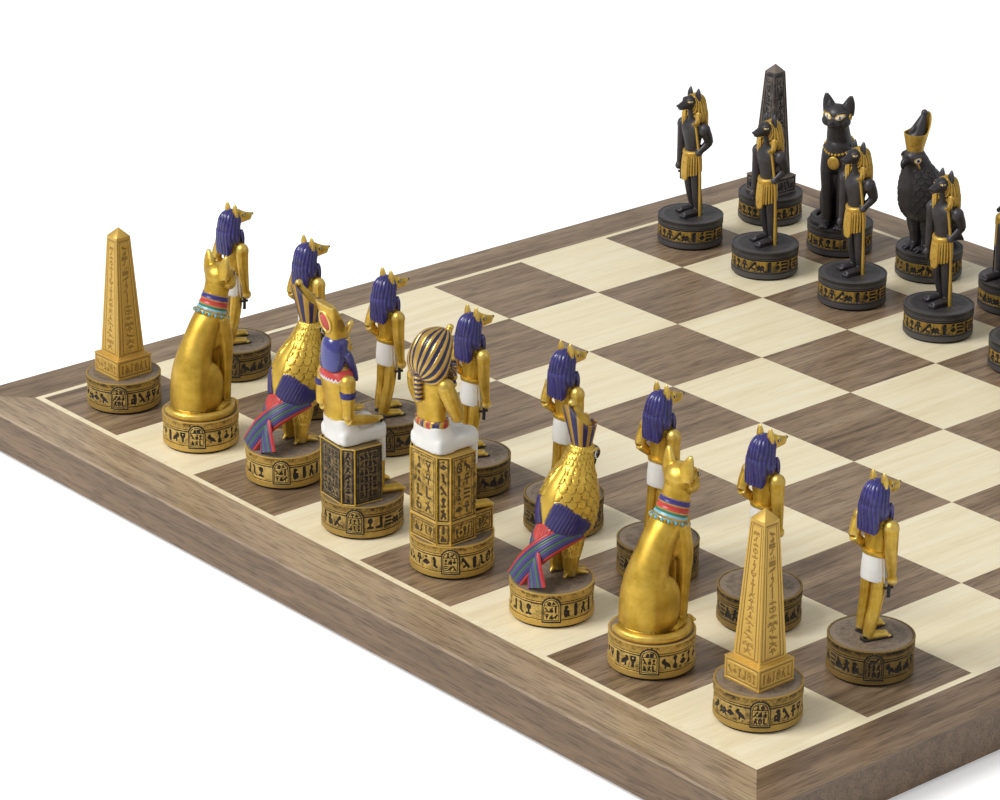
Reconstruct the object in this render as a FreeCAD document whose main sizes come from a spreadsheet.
"""Chess set in the ancient Egyptian style: a veneered board and its thirty-two weighted figures.

Frame: origin on the surface the board stands on, under the middle of the board, +Z up.
+X runs along a rank from the a file to the h file, +Y runs up a file from rank 1 to rank 8.
The gold army stands at -Y and faces +Y, the black army stands at +Y and faces -Y.
Every figure is drawn standing on the plane z = 0 about its own axis, facing +Y,
and is then placed on its square.
"""
import FreeCAD, Part
import os
import re
import Sketcher

from FreeCAD import Placement, Rotation, Vector

SIDE_SQUARES = 8

# Driving dimensions in millimetres and degrees: name, value, what it measures
SIZES = [
    # Board
    ("square", 50.0, "side of one square"),
    ("inlay_width", 2.5, "width of the pale inlay line round the squares"),
    ("border_width", 20.0, "width of the walnut border outside the inlay"),
    ("veneer", 1.2, "thickness of the top veneers"),
    ("core_thickness", 14.0, "thickness of the core panel"),
    ("band_thickness", 1.0, "thickness of the edge bands"),
    ("backing", 0.8, "thickness of the backing veneer"),
    ("foot_thickness", 1.5, "height of the pads under the board"),
    ("foot_radius", 9.0, "radius of the pads under the board"),
    ("foot_inset", 24.0, "from the board's edge to the middle of a pad"),
    # Drums that the figures stand on
    ("felt", 0.8, "thickness of the felt under each drum"),
    ("felt_margin", 1.0, "how far the felt stays inside the drum"),
    ("drum_height", 13.0, "from the square up to the drum's top"),
    ("drum_radius", 14.6, "radius of the drums"),
    ("royal_drum_radius", 15.0, "radius of the king's and queen's drums"),
    ("band_low", 3.6, "from the square up to the band of signs"),
    ("band_height", 5.6, "height of the band of signs"),
    ("band_depth", 0.35, "depth of the band of signs"),
    # Pawn: standing jackal-headed figure with a staff
    ("pawn_hem", 20.0, "from the drum up to the hem of the kilt"),
    ("pawn_kilt", 9.5, "height of the kilt"),
    ("pawn_kilt_radius", 4.9, "radius of the kilt at its hem"),
    ("pawn_torso", 13.2, "from the belt up to the shoulders"),
    ("pawn_waist", 4.0, "half width of the waist"),
    ("pawn_shoulder", 6.7, "from the axis out to the middle of an arm"),
    ("pawn_leg", 2.3, "radius of a leg"),
    ("pawn_leg_spread", 2.5, "from the axis out to the middle of a leg"),
    ("pawn_foot", 4.6, "half length of a foot"),
    ("pawn_stride", 3.0, "how far the left foot is ahead of the right"),
    ("pawn_arm", 1.7, "radius of an arm"),
    ("pawn_head_rise", 9.2, "from the shoulders up to the middle of the head"),
    ("pawn_head", 3.3, "half height of the head"),
    ("pawn_snout", 7.6, "how far the snout reaches ahead of the head's middle"),
    ("pawn_ear", 6.4, "from the head's middle up to the ear tips"),
    ("pawn_wig", 5.2, "half width of the wig at the shoulders"),
    ("pawn_staff", 0.75, "radius of the staff"),
    # Rook: obelisk
    ("plinth_side", 16.0, "side of the obelisk's plinth"),
    ("plinth_height", 7.9, "height of the obelisk's plinth"),
    ("shaft_foot", 12.1, "side of the shaft at its foot"),
    ("shaft_head", 6.4, "side of the shaft below its point"),
    ("shaft_height", 48.6, "height of the shaft below its point"),
    ("point_height", 3.2, "height of the obelisk's point"),
    # Knight: seated cat
    ("cat_haunch", 9.3, "radius of the cat's body at the haunches"),
    ("cat_haunch_height", 24.0, "from the drum up to where the back starts to lean"),
    ("cat_shoulder_height", 36.0, "from the drum up to the shoulders"),
    ("cat_neck", 4.8, "radius of the cat's neck"),
    ("cat_lean", 9.4, "how far the neck stands ahead of the drum's axis"),
    ("cat_head_height", 51.6, "from the drum up to the middle of the head"),
    ("cat_head", 6.2, "half width of the head"),
    ("cat_muzzle", 3.1, "radius of the muzzle"),
    ("cat_ear", 9.9, "from the head's middle up to the ear tips"),
    ("cat_leg", 2.5, "radius of a foreleg"),
    ("cat_leg_spread", 3.2, "from the axis out to the middle of a foreleg"),
    ("cat_tail", 1.5, "radius of the tail"),
    ("cat_tail_ring", 12.2, "radius of the curl of the tail round the haunches"),
    # Bishop: crowned falcon
    ("falcon_leg", 2.2, "radius of a leg"),
    ("falcon_leg_spread", 3.5, "from the axis out to the middle of a leg"),
    ("falcon_leg_height", 18.0, "from the drum up to the belly"),
    ("falcon_body", 9.6, "radius of the body at its widest"),
    ("falcon_body_height", 24.4, "from the legs up to the crown of the head's middle"),
    ("falcon_lean", 6.6, "how far the body's middle stands ahead of the drum's axis"),
    ("falcon_head", 5.0, "half width of the head"),
    ("falcon_beak", 7.6, "how far the beak reaches ahead of the head's middle"),
    ("falcon_crown", 10.2, "height of the flared part of the crown"),
    ("falcon_crown_rim", 4.6, "radius of the crown's rim"),
    ("falcon_plume", 8.4, "height of the crown's tall back part above the rim"),
    ("falcon_tail", 7.8, "half width of the crossed wing tips and tail"),
    # King and queen: seated figures on block thrones
    ("throne_width", 21.2, "width of the throne"),
    ("throne_back", 13.0, "from the drum's axis back to the throne's back"),
    ("throne_front", 1.9, "from the drum's axis forward to the throne's front"),
    ("throne_chamfer", 3.5, "cut at the throne's back corners"),
    ("king_ledge_height", 8.5, "height of the king's foot ledge"),
    ("king_ledge_front", 11.4, "from the drum's axis forward to the ledge's front"),
    ("king_ledge_width", 17.6, "width of the king's foot ledge"),
    ("king_seat", 25.0, "from the foot ledge up to the king's seat"),
    ("queen_seat", 22.0, "from the drum up to the queen's seat"),
    ("lap_height", 9.6, "from the seat up to the belt"),
    ("knee_height", 5.2, "from the seat up to the top of the knees"),
    ("lap_width", 16.8, "width of the skirt across the lap"),
    ("lap_back", 12.8, "from the drum's axis back to the skirt's back"),
    ("knee_front", 6.2, "from the drum's axis forward to the knees"),
    ("skirt_drop", 8.0, "how far the skirt hangs down in front of the seat"),
    ("torso_height", 17.5, "from the belt up to the shoulders"),
    ("torso_width", 7.2, "half width of the chest"),
    ("torso_depth", 4.3, "half depth of the chest"),
    ("torso_back", 8.9, "from the drum's axis back to the middle of the chest"),
    ("royal_arm", 2.1, "radius of an arm of the king or queen"),
    ("royal_arm_spread", 8.3, "from the middle of the chest out to an arm"),
    ("royal_foot", 4.6, "half length of a foot"),
    ("royal_foot_spread", 5.2, "from the middle out to a foot"),
    ("nemes_height", 17.0, "from the king's shoulders up to the top of his head cloth"),
    ("nemes_width", 8.1, "half width of the king's head cloth"),
    ("queen_head_height", 13.5, "from the queen's shoulders up to the top of her wig"),
    ("queen_wig", 5.6, "half width of the queen's wig"),
    ("queen_crown", 12.6, "height of the queen's crown above her wig"),
    ("queen_crown_rim", 5.2, "radius of the top of the queen's crown"),
]

# How each figure happens to stand in its square: millimetres right, millimetres up the file, turn in degrees
STANDING = {
    "a1": (-1.5, -2.8, 0), "b1": (-0.2, -2.9, 0), "c1": (-2.5, 1.0, 0), "d1": (1.0, -4.4, -7),
    "e1": (-2.0, -1.5, 0), "f1": (0.0, -0.4, 0), "g1": (1.0, -1.2, -4), "h1": (0.5, -0.5, 0),
    "a2": (-0.7, 1.0, 0), "c2": (-1.9, 0.3, 0), "d2": (-0.9, -1.0, 0), "e2": (-1.5, 0.9, 0),
    "f2": (-0.9, 0.2, 0), "h2": (0.7, 1.5, 0), "a7": (1.6, 2.0, 0), "b7": (0.6, 0.2, 0),
    "c7": (1.3, 2.2, 0), "d7": (0.9, 2.2, 0), "a8": (1.5, 2.4, 0), "b8": (1.3, -3.7, 25),
    "c8": (-0.6, 2.2, 0),
}

doc = FreeCAD.newDocument("chess_set")
sheet = doc.addObject("Spreadsheet::Sheet", "sizes")
NAMES = set()
SUB_PARTS = []


def fill_sheet():
    """One row for each driving dimension, with its name as the cell's alias."""
    for row, (name, value, meaning) in enumerate(SIZES, start=1):
        sheet.set("A%d" % row, name)
        sheet.set("B%d" % row, str(value))
        sheet.set("C%d" % row, meaning)
        sheet.setAlias("B%d" % row, name)
        NAMES.add(name)
    doc.recompute()


def in_sheet(text):
    """A formula in the short names becomes one that points at the sheet's cells."""
    return re.sub(r"[a-z_]+", lambda word: "sizes." + word.group() if word.group() in NAMES else word.group(), text)


def bind(thing, **formulas):
    for prop, formula in formulas.items():
        thing.setExpression(prop, in_sheet(str(formula)))


def put(thing, x="0", y="0", z="0"):
    """Places an object at formulas in the sheet's names, keeping the turn that it has."""
    for axis, formula in zip("xyz", (x, y, z)):
        thing.setExpression("Placement.Base." + axis, in_sheet(str(formula)))
    return thing


# Simple forms


def ball(name, half_x, half_y, half_z, x="0", y="0", z="0"):
    made = doc.addObject("Part::Ellipsoid", name)
    made.Angle1 = -90
    made.Angle2 = 90
    made.Angle3 = 360
    bind(made, Radius1=half_z, Radius2=half_x, Radius3=half_y)
    return put(made, x, y, z)


def cylinder(name, radius, height, x="0", y="0", z="0"):
    made = doc.addObject("Part::Cylinder", name)
    bind(made, Radius=radius, Height=height)
    return put(made, x, y, z)


def cone(name, foot, head, height, x="0", y="0", z="0"):
    made = doc.addObject("Part::Cone", name)
    bind(made, Radius1=foot, Radius2=head, Height=height)
    return put(made, x, y, z)


def block(name, width, depth, height, x="0", y="0", z="0"):
    """A box that is centred on x and starts at y and z."""
    made = doc.addObject("Part::Box", name)
    bind(made, Length=width, Width=depth, Height=height)
    return put(made, "(%s) - (%s) / 2" % (x, width), y, z)


def tapered(name, foot, head, height, z):
    """A square shaft that tapers from side foot to side head."""
    made = doc.addObject("Part::Wedge", name)
    made.Placement = Placement(Vector(0, 0, 0), Rotation(Vector(1, 0, 0), 90))
    for low, high, side in (("Xmin", "Xmax", foot), ("Zmin", "Zmax", foot),
                            ("X2min", "X2max", head), ("Z2min", "Z2max", head)):
        bind(made, **{low: "-(%s) / 2" % side, high: "(%s) / 2" % side})
    made.Ymin = 0
    bind(made, Ymax=height)
    return put(made, "0", "0", z)


def limb(name, rounds, facing_forward=False):
    """A smooth tube through circles, each given as radius, x, y and z."""
    circles = []
    for number, (radius, x, y, z) in enumerate(rounds, start=1):
        circle = doc.addObject("Part::Circle", "%s_round_%d" % (name, number))
        if facing_forward:
            circle.Placement = Placement(Vector(0, 0, 0), Rotation(Vector(1, 0, 0), 90))
        bind(circle, Radius=radius)
        circles.append(put(circle, x, y, z))
    return through(name, circles)


def slab(name, ovals):
    """A smooth flat form through level ovals, each given as half width, half depth, x, y and z."""
    sections = []
    for number, (half_width, half_depth, x, y, z) in enumerate(ovals, start=1):
        oval = doc.addObject("Part::Ellipse", "%s_oval_%d" % (name, number))
        bind(oval, MajorRadius=half_width, MinorRadius=half_depth)
        sections.append(put(oval, x, y, z))
    return through(name, sections)


def through(name, sections):
    made = doc.addObject("Part::Loft", name)
    made.Sections = sections
    made.Solid = True
    made.Ruled = len(sections) == 2
    return made


def joined(name, pieces):
    """One casting from pieces that run into each other."""
    made = doc.addObject("Part::MultiFuse", name)
    made.Shapes = pieces
    made.Refine = False
    return made


def add_sub_part(label, content, x="0", y="0", z="0", turn=0):
    """A named sub-part made of one or more solids, placed where it belongs."""
    part = doc.addObject("Part::Compound", label)
    part.Label = label
    part.Links = content
    part.Placement = Placement(Vector(0, 0, 0), Rotation(Vector(0, 0, 1), turn))
    put(part, x, y, z)
    SUB_PARTS.append(part)
    return part


# Board

FIELD_HALF = "(square * %d / 2)" % SIDE_SQUARES
INLAY_HALF = "(%s + inlay_width)" % FIELD_HALF
BOARD_HALF = "(%s + border_width)" % INLAY_HALF
CORE_HALF = "(%s - band_thickness)" % BOARD_HALF
CORE_FOOT = "(foot_thickness + backing)"
VENEER_FOOT = "(%s + core_thickness)" % CORE_FOOT
BOARD_TOP = "(%s + veneer)" % VENEER_FOOT


def plate(name, half_x, half_y, thickness, z):
    made = doc.addObject("Part::Box", name)
    bind(made, Length="2 * %s" % half_x, Width="2 * %s" % half_y, Height=thickness)
    return put(made, "-%s" % half_x, "-%s" % half_y, z)


def mitred_strip(name, outer_half, inner_half, quarter_turns):
    """One strip of a square frame, mitred at both ends, drawn at the front and turned round the board."""
    body = doc.addObject("PartDesign::Body", name)
    sketch = body.newObject("Sketcher::SketchObject", name + "_outline")
    ground = [plane for plane in body.Origin.OriginFeatures if plane.Role == "XY_Plane"][0]
    sketch.AttachmentSupport = (ground, [""])
    sketch.MapMode = "FlatFace"
    corners = [Vector(-3, -3, 0), Vector(3, -3, 0), Vector(2, -2, 0), Vector(-2, -2, 0)]
    for start, end in zip(corners, corners[1:] + corners[:1]):
        sketch.addGeometry(Part.LineSegment(start, end), False)
    for line in range(4):
        sketch.addConstraint(Sketcher.Constraint("Coincident", line, 2, (line + 1) % 4, 1))
    # Distances from the origin to the four corners, outer pair first
    for corner, half, side in ((0, outer_half, -1), (1, outer_half, 1), (2, inner_half, 1), (3, inner_half, -1)):
        for kind, sign in (("DistanceX", side), ("DistanceY", -1)):
            start, value = sketch_distance(sketch, corner, sign)
            number = sketch.addConstraint(Sketcher.Constraint(kind, *start, value))
            sketch.setExpression("Constraints[%d]" % number, in_sheet(half))
    pad = body.newObject("PartDesign::Pad", name + "_pad")
    pad.Profile = sketch
    bind(pad, Length="veneer")
    body.Placement = Placement(Vector(0, 0, 0), Rotation(Vector(0, 0, 1), 90 * quarter_turns))
    return put(body, "0", "0", VENEER_FOOT)


def sketch_distance(sketch, corner, sign):
    """A distance that is measured so that it is positive: origin to corner, or corner to origin."""
    origin = (-1, 1)
    point = (corner, 1)
    start = origin + point if sign > 0 else point + origin
    return start, 2.5


def make_board():
    add_sub_part("core_panel", [plate("core", CORE_HALF, CORE_HALF, "core_thickness", CORE_FOOT)])
    add_sub_part("backing_sheet", [plate("backing_veneer", CORE_HALF, CORE_HALF, "backing", "foot_thickness")])
    tiles = {"dark_squares": [], "light_squares": []}
    for column in range(SIDE_SQUARES):
        for row in range(SIDE_SQUARES):
            colour = "dark_squares" if (column + row) % 2 == 0 else "light_squares"
            tile = doc.addObject("Part::Box", "tile_%s%d" % ("abcdefgh"[column], row + 1))
            bind(tile, Length="square", Width="square", Height="veneer")
            put(tile, "square * %d" % (column - 4), "square * %d" % (row - 4), VENEER_FOOT)
            tiles[colour].append(tile)
    for label, pieces in tiles.items():
        add_sub_part(label, pieces)
    add_sub_part("inlay_strips", [mitred_strip("inlay_%d" % turn, INLAY_HALF, FIELD_HALF, turn) for turn in range(4)])
    for turn, side in enumerate(("front", "right", "back", "left")):
        strip = mitred_strip("border_veneer_%s" % side, BOARD_HALF, INLAY_HALF, turn)
        add_sub_part("border_" + side, [strip])
    make_edge_bands()
    feet = []
    reach = "(%s - foot_inset)" % BOARD_HALF
    for number, (side_x, side_y) in enumerate(((-1, -1), (1, -1), (1, 1), (-1, 1))):
        foot = cylinder("foot_%d" % number, "foot_radius", "foot_thickness",
                        "%d * %s" % (side_x, reach), "%d * %s" % (side_y, reach), "0")
        feet.append(foot)
    add_sub_part("board_feet", feet)


def make_edge_bands():
    """Long bands on the left and right edges, and shorter ones between them."""
    height = "core_thickness + backing"
    bands = []
    for side in (-1, 1):
        middle = "%d * (%s - band_thickness / 2)" % (side, BOARD_HALF)
        long_band = doc.addObject("Part::Box", "band_x_%d" % (side + 1))
        bind(long_band, Length="band_thickness", Width="2 * " + BOARD_HALF, Height=height)
        put(long_band, middle + " - band_thickness / 2", "-" + BOARD_HALF, "foot_thickness")
        short_band = doc.addObject("Part::Box", "band_y_%d" % (side + 1))
        bind(short_band, Length="2 * " + CORE_HALF, Width="band_thickness", Height=height)
        put(short_band, "-" + CORE_HALF, middle + " - band_thickness / 2", "foot_thickness")
        bands += [long_band, short_band]
    add_sub_part("edge_bands", bands)


# Drums


def make_drum(kind, radius):
    """A drum above its felt, with a sunk band for the signs between two rims."""
    full = cylinder(kind + "_drum_full", radius, "drum_height - felt", z="felt")
    outside = cylinder(kind + "_band_outside", radius + " + 1", "band_height", z="band_low")
    inside = cylinder(kind + "_band_inside", radius + " - band_depth", "band_height", z="band_low")
    ring = doc.addObject("Part::Cut", kind + "_band_ring")
    ring.Base = outside
    ring.Tool = inside
    drum = doc.addObject("Part::Cut", kind + "_drum")
    drum.Base = full
    drum.Tool = ring
    return drum


def make_felt(kind, radius):
    return cylinder(kind + "_felt", radius + " - felt_margin", "felt")


# Pawn


def make_pawn():
    hem = "(drum_height + pawn_hem)"
    belt = "(%s + pawn_kilt)" % hem
    shoulders = "(%s + pawn_torso)" % belt
    head = "(%s + pawn_head_rise)" % shoulders
    pieces = [make_drum("pawn", "drum_radius")]
    # Legs and feet, the left one ahead
    for side, sign, step in (("left", "-", "pawn_stride / 2"), ("right", "", "-pawn_stride / 2")):
        spread = sign + "pawn_leg_spread"
        pieces.append(limb("pawn_leg_" + side, [
            ("pawn_leg * 0.8", spread, step + " - pawn_leg / 2", "drum_height - 0.5"),
            ("pawn_leg * 1.05", spread, "0", hem + " + 1"),
        ]))
        pieces.append(ball("pawn_foot_" + side, "pawn_leg * 0.8", "pawn_foot", "1.7",
                           spread, step + " + pawn_foot / 3", "drum_height + 0.5"))
    # Kilt, its hanging tab, belt and torso
    pieces.append(cone("pawn_kilt_form", "pawn_kilt_radius", "pawn_waist + 0.3", "pawn_kilt", z=hem))
    pieces.append(block("pawn_tab", "pawn_leg", "pawn_kilt_radius + 0.6", "pawn_kilt * 0.8", z=hem + " - 1.6"))
    pieces.append(ball("pawn_waist_form", "pawn_waist", "pawn_waist * 0.85", "pawn_torso * 0.5", z=belt + " + 1"))
    pieces.append(ball("pawn_chest", "pawn_shoulder * 0.92", "pawn_waist * 0.95", "pawn_torso * 0.62",
                       z=shoulders + " - pawn_torso * 0.36"))
    pieces.append(ball("pawn_shoulders", "pawn_shoulder + pawn_arm * 1.25", "pawn_arm * 1.5", "pawn_arm * 1.5",
                       z=shoulders + " - pawn_arm * 0.8"))
    pieces += make_pawn_arms(belt, shoulders)
    # Staff from the chest down to the drum
    pieces.append(limb("pawn_staff_form", [
        ("pawn_staff", "-(pawn_kilt_radius + 0.3)", "-0.8", "drum_height - 0.3"),
        ("pawn_staff", "-(pawn_shoulder - 1.8)", "pawn_waist * 0.8", shoulders + " - 1"),
    ]))
    pieces += make_pawn_head(shoulders, head)
    return joined("pawn_casting", pieces)


def make_pawn_arms(belt, shoulders):
    arm = "pawn_arm"
    right_fist = "(%s - pawn_kilt * 0.95)" % belt
    elbow = "(%s - pawn_torso * 0.62)" % shoulders
    top = shoulders + " - pawn_arm * 0.7"
    return [
        limb("pawn_right_arm", [
            (arm, "pawn_shoulder", "0", top),
            (arm + " * 0.9", "pawn_shoulder + 0.4", "0.8", right_fist),
        ]),
        ball("pawn_right_fist", arm, arm, arm + " * 1.15", "pawn_shoulder + 0.4", "0.9", right_fist),
        limb("pawn_left_upper_arm", [
            (arm + " * 0.9", "-(pawn_shoulder + 0.8)", "-4.6", elbow),
            (arm, "-pawn_shoulder", "0", top),
        ]),
        ball("pawn_left_elbow", arm, arm, arm, "-(pawn_shoulder + 0.8)", "-4.6", elbow),
        limb("pawn_left_forearm", [
            (arm + " * 1.1", "-(pawn_kilt_radius + 0.4)", "0.4", belt + " + 0.4"),
            (arm + " * 1.1", "-(pawn_shoulder + 0.8)", "-4.6", elbow + " + 0.4"),
        ]),
        ball("pawn_left_fist", arm, arm, arm, "-(pawn_kilt_radius + 0.4)", "0.4", belt + " + 0.2"),
    ]


def make_pawn_head(shoulders, head):
    pieces = [
        cylinder("pawn_neck", "pawn_head * 0.7", "pawn_head_rise", z=shoulders + " - 1"),
        ball("pawn_head_form", "pawn_head", "pawn_head * 1.3", "pawn_head", y="1", z=head),
        limb("pawn_snout_form", [
            ("pawn_head * 0.68", "0", "2", head),
            ("pawn_head * 0.32", "0", "pawn_snout + 1", head + " - pawn_head * 0.2"),
        ], facing_forward=True),
        ball("pawn_wig_top", "pawn_wig * 0.9", "pawn_wig * 0.96", "pawn_wig * 1.1",
             y="-pawn_wig * 0.26", z=head + " - pawn_wig * 0.42"),
        slab("pawn_wig_back", [
            ("pawn_wig", "pawn_wig * 0.4", "0", "-pawn_wig * 0.68", shoulders + " - pawn_torso * 0.32"),
            ("pawn_wig * 0.86", "pawn_wig * 0.45", "0", "-pawn_wig * 0.55", head + " - pawn_head * 0.4"),
        ]),
    ]
    for side, sign in (("left", "-"), ("right", "")):
        pieces.append(slab("pawn_lappet_" + side, [
            ("1.7", "1", sign + "pawn_wig * 0.62", "pawn_waist * 0.72", shoulders + " - 2.4"),
            ("1.9", "1.5", sign + "pawn_wig * 0.62", "1", head + " - pawn_head * 0.5"),
        ]))
        pieces.append(limb("pawn_ear_" + side, [
            ("pawn_head * 0.42", sign + "pawn_head * 0.66", "-0.4", head + " + pawn_head * 0.3"),
            ("0.25", sign + "pawn_head * 0.7", "-0.4", head + " + pawn_ear"),
        ]))
    return pieces


# Rook


def make_rook():
    shaft_top = "drum_height + plinth_height + shaft_height"
    pieces = [
        make_drum("rook", "drum_radius"),
        block("rook_plinth", "plinth_side", "plinth_side", "plinth_height", y="-plinth_side / 2", z="drum_height"),
        tapered("rook_shaft", "shaft_foot", "shaft_head", "shaft_height", "drum_height + plinth_height"),
        tapered("rook_point", "shaft_head", "0", "point_height", shaft_top),
    ]
    return joined("rook_casting", pieces)


# Knight


def make_knight():
    back = "(drum_height + cat_haunch_height)"
    shoulder = "(drum_height + cat_shoulder_height)"
    head = "(drum_height + cat_head_height)"
    pieces = [
        make_drum("knight", "drum_radius"),
        limb("cat_body", [
            ("cat_haunch", "0", "-cat_haunch * 0.24", "drum_height - 0.5"),
            ("cat_haunch * 1.01", "0", "-cat_haunch * 0.24", "drum_height + cat_haunch_height * 0.5"),
            ("cat_haunch * 0.88", "0", "-cat_haunch * 0.14", back),
            ("cat_haunch * 0.76", "0", "cat_lean * 0.55", shoulder + " - 1"),
            ("cat_neck * 1.12", "0", "cat_lean * 0.86", head + " - cat_head * 1.1"),
            ("cat_neck", "0", "cat_lean", head),
        ]),
        ball("cat_chest", "cat_haunch * 0.62", "cat_haunch * 0.62", "cat_haunch_height * 0.4",
             y="cat_lean", z=shoulder + " - 2.5"),
        ball("cat_head_form", "cat_head", "cat_head * 1.05", "cat_head * 0.9", y="cat_lean + 1.2", z=head),
        ball("cat_muzzle_form", "cat_muzzle", "cat_muzzle", "cat_muzzle * 0.85",
             y="cat_lean + cat_head * 1.12", z=head + " - cat_head * 0.3"),
        make_cat_tail(),
    ]
    for side, sign in (("left", "-"), ("right", "")):
        spread = sign + "cat_leg_spread"
        pieces.append(limb("cat_foreleg_" + side, [
            ("cat_leg * 0.92", spread, "cat_lean * 0.74", "drum_height - 0.5"),
            ("cat_leg * 0.95", spread, "cat_lean * 0.8", "drum_height + cat_haunch_height * 0.5"),
            ("cat_leg * 1.1", spread, "cat_lean * 1.05", shoulder + " - 4"),
        ]))
        pieces.append(ball("cat_paw_" + side, "cat_leg * 0.96", "cat_leg * 1.5", "cat_leg * 0.75",
                           spread, "cat_lean * 0.98", "drum_height + 0.6"))
        pieces.append(limb("cat_ear_" + side, [
            ("cat_head * 0.42", sign + "cat_head * 0.66", "cat_lean + 0.2", head + " + cat_head * 0.34"),
            ("0.35", sign + "cat_head * 0.98", "cat_lean + 0.9", head + " + cat_ear"),
        ]))
    return joined("knight_casting", pieces)


def make_cat_tail():
    """The tail lies on the drum from behind the cat, round its right side, to its paws."""
    tail = doc.addObject("Part::Torus", "cat_tail_form")
    tail.Angle1 = -180
    tail.Angle2 = 180
    tail.Angle3 = 150
    tail.Placement = Placement(Vector(0, 0, 0), Rotation(Vector(0, 0, 1), -100))
    bind(tail, Radius1="cat_tail_ring", Radius2="cat_tail")
    return put(tail, "0", "0", "drum_height + cat_tail * 0.7")


# Bishop


def make_bishop():
    belly = "(drum_height + falcon_leg_height)"
    head = "(%s + falcon_body_height)" % belly
    front = "(falcon_lean * 1.7)"
    crown_foot = "(%s + falcon_head * 0.4)" % head
    rim = "(%s + falcon_crown)" % crown_foot
    pieces = [
        make_drum("bishop", "drum_radius"),
        limb("falcon_body_form", [
            ("falcon_body * 0.5", "0", "falcon_lean * 0.8", belly + " - 3"),
            ("falcon_body * 0.9", "0", "falcon_lean", belly + " + falcon_body_height * 0.12"),
            ("falcon_body", "0", "falcon_lean", belly + " + falcon_body_height * 0.36"),
            ("falcon_body * 0.84", "0", "falcon_lean * 1.2", belly + " + falcon_body_height * 0.62"),
            ("falcon_head * 1.2", "0", "falcon_lean * 1.5", belly + " + falcon_body_height * 0.86"),
            ("falcon_head", "0", front, head),
        ]),
        ball("falcon_head_form", "falcon_head", "falcon_head * 1.14", "falcon_head * 0.92", y=front, z=head),
        limb("falcon_beak_form", [
            ("falcon_head * 0.4", "0", front + " + falcon_head * 0.8", head + " - 0.8"),
            ("falcon_head * 0.12", "0", front + " + falcon_beak", head + " - falcon_head * 0.62"),
        ], facing_forward=True),
        limb("falcon_crown_form", [
            ("falcon_head * 0.58", "0", front + " - 0.4", crown_foot),
            ("falcon_crown_rim", "0", front + " - 0.8", rim),
        ]),
        limb("falcon_plume_form", [
            ("falcon_crown_rim * 0.86", "0", front + " - 1.2", rim + " - 0.5"),
            ("falcon_crown_rim * 0.28", "0", front + " - falcon_crown_rim", rim + " + falcon_plume"),
        ]),
        slab("falcon_wings", [
            ("falcon_tail", "falcon_tail * 0.2", "0", "-drum_radius * 0.76", "drum_height - 0.3"),
            ("falcon_tail * 0.92", "falcon_tail * 0.28", "0", "-drum_radius * 0.5",
             "drum_height + falcon_leg_height * 0.62"),
            ("falcon_tail * 1.1", "falcon_tail * 0.5", "0", "-drum_radius * 0.06",
             belly + " + falcon_body_height * 0.3"),
        ]),
    ]
    for side, sign in (("left", "-"), ("right", "")):
        spread = sign + "falcon_leg_spread"
        leg_height = "falcon_leg_height + 3"
        pieces.append(cylinder("falcon_leg_" + side, "falcon_leg", leg_height,
                               spread, "falcon_lean * 0.74", "drum_height - 0.5"))
        pieces.append(ball("falcon_foot_" + side, "falcon_leg * 1.2", "falcon_leg * 2.2", "falcon_leg * 0.8",
                           spread, "falcon_lean + falcon_leg * 0.8", "drum_height + 0.4"))
        pieces.append(ball("falcon_wing_" + side, "falcon_body * 0.3", "falcon_body * 0.92", "falcon_body * 0.8",
                           sign + "falcon_body * 0.78", "falcon_lean * 0.4", belly + " + falcon_body_height * 0.3"))
    return joined("bishop_casting", pieces)


# King and queen


def make_throne(kind, height, z):
    """A block throne: a box whose two back corners are cut off."""
    full = block(kind + "_throne_full", "throne_width", "throne_back + throne_front", height, y="-throne_back", z=z)
    cut = full
    for side, sign in (("left", "-"), ("right", "")):
        tool = doc.addObject("Part::Box", "%s_throne_corner_%s" % (kind, side))
        tool.Placement = Placement(Vector(0, 0, 0), Rotation(Vector(0, 0, 1), 45))
        bind(tool, Length="throne_chamfer * sqrt(2)", Width="throne_chamfer * sqrt(2)", Height=height)
        put(tool, sign + "throne_width / 2", "-(throne_back + throne_chamfer)", z)
        next_cut = doc.addObject("Part::Cut", "%s_throne_cut_%s" % (kind, side))
        next_cut.Base = cut
        next_cut.Tool = tool
        cut = next_cut
    return cut


def make_seated(kind, foot_level, seat, shoulders):
    """Skirt, legs, feet and chest that the king and the queen share."""
    belt = "(%s + lap_height)" % seat
    middle = "-torso_back"
    pieces = [
        block(kind + "_lap", "lap_width", "lap_back + knee_front", "knee_height", y="-lap_back", z=seat),
        block(kind + "_skirt_front", "lap_width", "knee_front - throne_front", "skirt_drop + knee_height",
              y="throne_front", z=seat + " - skirt_drop"),
        block(kind + "_hips", "lap_width * 0.94", "2 * torso_depth", "lap_height",
              y="-lap_back", z=seat),
        slab(kind + "_chest", [
            ("torso_width * 0.95", "torso_depth", "0", middle, belt + " - 0.6"),
            ("torso_width", "torso_depth * 1.1", "0", middle, "(%s + %s) / 2" % (belt, shoulders)),
            ("torso_width * 1.12", "torso_depth", "0", middle + " - 1", shoulders + " - royal_arm * 1.2"),
            ("torso_width * 0.6", "torso_depth * 0.6", "0", middle + " - 1", shoulders + " + royal_arm * 0.4"),
        ]),
    ]
    for side, sign in (("left", "-"), ("right", "")):
        spread = sign + "royal_foot_spread"
        pieces.append(limb("%s_shin_%s" % (kind, side), [
            ("royal_arm * 1.1", spread, "throne_front + royal_arm", foot_level + " - 0.3"),
            ("royal_arm * 1.3", spread, "throne_front + royal_arm", seat),
        ]))
        pieces.append(ball("%s_foot_%s" % (kind, side), "royal_arm", "royal_foot", "1.9",
                           spread, "throne_front + royal_foot", foot_level + " + 0.5"))
    return pieces


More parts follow.
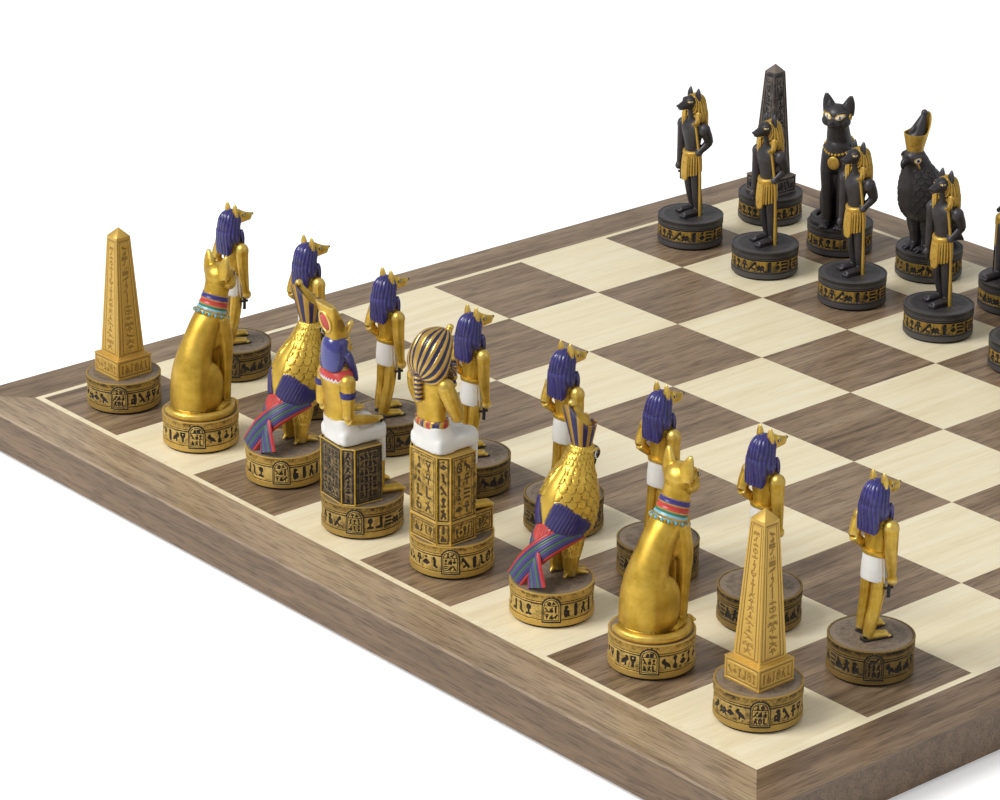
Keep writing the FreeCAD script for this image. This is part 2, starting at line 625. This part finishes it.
def arm(name, sign, shoulder, elbow, hand, forward_hand):
    """An arm through shoulder, elbow and hand, each given as x, y and z, with round joints."""
    radius = "royal_arm"
    places = [(sign + x, y, z) for x, y, z in (shoulder, elbow, hand)]
    pieces = [
        limb(name + "_upper", [(radius,) + places[1], (radius,) + places[0]]),
        limb(name + "_fore", [(radius,) + places[1], (radius,) + places[2]], facing_forward=forward_hand),
    ]
    joint = "royal_arm * 1.12"
    for part, place in zip(("shoulder", "elbow", "hand"), places):
        pieces.append(ball("%s_%s" % (name, part), joint, joint, joint, *place))
    return pieces


def make_king():
    ledge = "(drum_height + king_ledge_height)"
    seat = "(%s + king_seat)" % ledge
    shoulders = "(%s + lap_height + torso_height)" % seat
    pieces = [
        make_drum("king", "royal_drum_radius"),
        make_throne("king_plinth", "king_ledge_height", "drum_height"),
        block("king_ledge", "king_ledge_width", "king_ledge_front", "king_ledge_height", z="drum_height"),
        make_throne("king", "king_seat", ledge),
    ]
    pieces += make_seated("king", ledge, seat, shoulders)
    # Arms bent at the elbow and crossed on the chest
    for side, sign in (("left", "-"), ("right", "")):
        pieces += arm(
            "king_arm_" + side, sign,
            shoulder=("(royal_arm_spread)", "-(torso_back + 0.8)", shoulders + " - royal_arm * 1.3"),
            elbow=("(royal_arm_spread + 0.9)", "-(torso_back - 3)", shoulders + " - torso_height * 0.78"),
            hand=("(royal_arm_spread * 0.2)", "-(torso_back - torso_depth - 1)", shoulders + " - torso_height * 0.42"),
            forward_hand=False)
    # Head, head cloth with its front lappets, queue and the small cobra
    top = "(%s + nemes_height)" % shoulders
    middle = "-(torso_back + 1.2)"
    pieces += [
        ball("king_face", "nemes_width * 0.6", "nemes_width * 0.7", "nemes_height * 0.42",
             y=middle + " + nemes_width * 0.22", z=shoulders + " + nemes_height * 0.46"),
        limb("king_nemes", [
            ("nemes_width * 0.84", "0", middle, shoulders + " - royal_arm * 0.7"),
            ("nemes_width", "0", middle, shoulders + " + nemes_height * 0.3"),
            ("nemes_width * 0.98", "0", middle, shoulders + " + nemes_height * 0.66"),
            ("nemes_width * 0.66", "0", middle, top),
        ]),
        ball("king_cobra", "1.1", "1.2", "1.8", y=middle + " + nemes_width * 0.82", z=top + " - 1.2"),
        limb("king_queue", [
            ("1", "0", "-(torso_back + torso_depth + 0.9)", shoulders + " - nemes_height * 0.5"),
            ("1.3", "0", "-(torso_back + torso_depth + 1.4)", shoulders + " + 0.8"),
        ]),
    ]
    return joined("king_casting", pieces)


def make_queen():
    seat = "(drum_height + queen_seat)"
    shoulders = "(%s + lap_height + torso_height)" % seat
    pieces = [make_drum("queen", "royal_drum_radius"), make_throne("queen", "queen_seat", "drum_height")]
    pieces += make_seated("queen", "drum_height", seat, shoulders)
    # Upper arms straight down, forearms resting on the thighs
    for side, sign in (("left", "-"), ("right", "")):
        pieces += arm(
            "queen_arm_" + side, sign,
            shoulder=("(royal_arm_spread)", "-(torso_back + 1)", shoulders + " - royal_arm * 1.3"),
            elbow=("(royal_arm_spread + 0.6)", "-(torso_back + 1.6)", seat + " + lap_height"),
            hand=("(royal_foot_spread)", "knee_front - 3.4", seat + " + knee_height + royal_arm * 0.8"),
            forward_hand=True)
    # Head, wig with pointed lappets, crown and the small cobra
    wig_top = "(%s + queen_head_height)" % shoulders
    middle = "-(torso_back + 1.4)"
    pieces += [
        ball("queen_face", "queen_wig * 0.7", "queen_wig * 0.86", "queen_head_height * 0.36",
             y=middle + " + queen_wig * 0.34", z=shoulders + " + queen_head_height * 0.5"),
        limb("queen_wig_form", [
            ("queen_wig * 1.02", "0", middle, shoulders + " - royal_arm * 0.6"),
            ("queen_wig", "0", middle, shoulders + " + queen_head_height * 0.5"),
            ("queen_wig * 0.7", "0", middle, wig_top),
        ]),
        limb("queen_crown_form", [
            ("queen_crown_rim * 0.82", "0", middle, wig_top + " - 0.5"),
            ("queen_crown_rim", "0", middle + " - 1.8", wig_top + " + queen_crown"),
        ]),
        ball("queen_cobra", "0.9", "1.2", "1.8", y=middle + " + queen_wig * 0.86", z=wig_top + " + 1"),
    ]
    for side, sign in (("left", "-"), ("right", "")):
        pieces.append(slab("queen_lappet_" + side, [
            ("1.1", "0.8", sign + "queen_wig * 0.86", "-(torso_back - torso_depth)", shoulders + " - royal_arm * 2.6"),
            ("2.2", "1.6", sign + "queen_wig * 0.72", middle + " + queen_wig * 0.5", shoulders + " + 1.5"),
        ]))
    return joined("queen_casting", pieces)


# Setting out the men

OFFICERS = ["rook", "knight", "bishop", "queen", "king", "bishop", "knight", "rook"]
RADIUS_OF = {kind: "drum_radius" for kind in ("pawn", "rook", "knight", "bishop")}
RADIUS_OF.update({kind: "royal_drum_radius" for kind in ("queen", "king")})


def stand(army, kind, casting, felt, column, rank, turn):
    """Puts one man on its square: a pawn is one sub-part with its felt, an officer's felt is a sub-part of its own."""
    square_name = "abcdefgh"[column] + str(rank)
    right, ahead, own_turn = STANDING.get(square_name, (0, 0, 0))
    place = {
        "x": "square * %s + %s" % (column - 3.5, right),
        "y": "square * %s + %s" % (rank - 4.5, ahead),
        "z": BOARD_TOP,
        "turn": turn + own_turn,
    }
    label = "%s_%s_%s" % (army, kind, square_name)
    if kind == "pawn":
        add_sub_part(label, [casting, felt], **place)
        return
    add_sub_part(label, [casting], **place)
    add_sub_part("felt_" + label, [felt], **place)


def set_out_men():
    makers = {"pawn": make_pawn, "rook": make_rook, "knight": make_knight,
              "bishop": make_bishop, "queen": make_queen, "king": make_king}
    castings = {kind: maker() for kind, maker in makers.items()}
    felts = {kind: make_felt(kind, RADIUS_OF[kind]) for kind in makers}
    for army, home_rank, pawn_rank, turn in (("gold", 1, 2, 0), ("black", 8, 7, 180)):
        for column, kind in enumerate(OFFICERS):
            stand(army, kind, castings[kind], felts[kind], column, home_rank, turn)
            stand(army, "pawn", castings["pawn"], felts["pawn"], column, pawn_rank, turn)


# Checks and files


def check_document():
    for thing in doc.Objects:
        if "Invalid" in thing.State or "Error" in thing.State:
            raise RuntimeError("%s failed: %s" % (thing.Name, thing.State))
    for part in SUB_PARTS:
        if part.Shape.isNull() or not part.Shape.isValid():
            raise RuntimeError("%s has no valid shape" % part.Label)


def write_files():
    os.makedirs("parts", exist_ok=True)
    for part in SUB_PARTS:
        part.Shape.exportStep("parts/%s.step" % part.Label)


fill_sheet()
make_board()
set_out_men()
doc.recompute()
check_document()
write_files()
